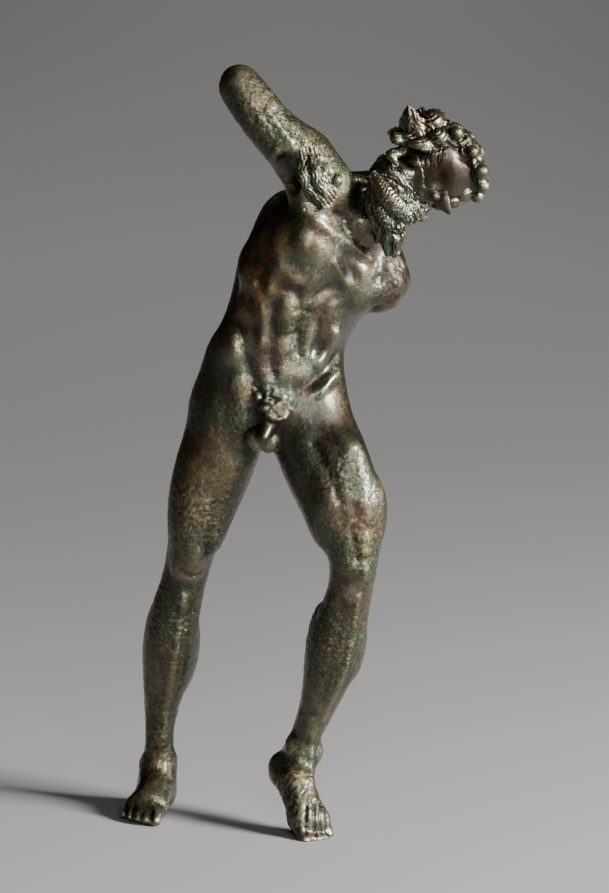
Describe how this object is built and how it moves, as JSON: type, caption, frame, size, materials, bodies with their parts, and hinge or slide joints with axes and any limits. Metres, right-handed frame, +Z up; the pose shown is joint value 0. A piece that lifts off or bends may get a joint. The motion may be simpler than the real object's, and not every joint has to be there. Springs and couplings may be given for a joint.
{
  "type": "satyr statuette",
  "caption": "Cast bronze statuette of a nude bearded satyr, leaning back with one broken arm raised and the head tipped aside, one foot up on its toes.",
  "frame": {"origin": "on the ground, under the middle of the figure's outer box", "axes": "+Z up along the figure's height, -Y towards the front that the picture shows, +X towards the figure's left side"},
  "size_m": [0.0892, 0.0506, 0.2068],
  "materials": {
    "bronze": "bronze with a dark olive-brown patina, half glossy, with copper-red rubs, yellow-olive crust and green specks"
  },
  "bodies": {
    "root": {"satyr_figure": "bronze"}
  },
  "joints": []
}
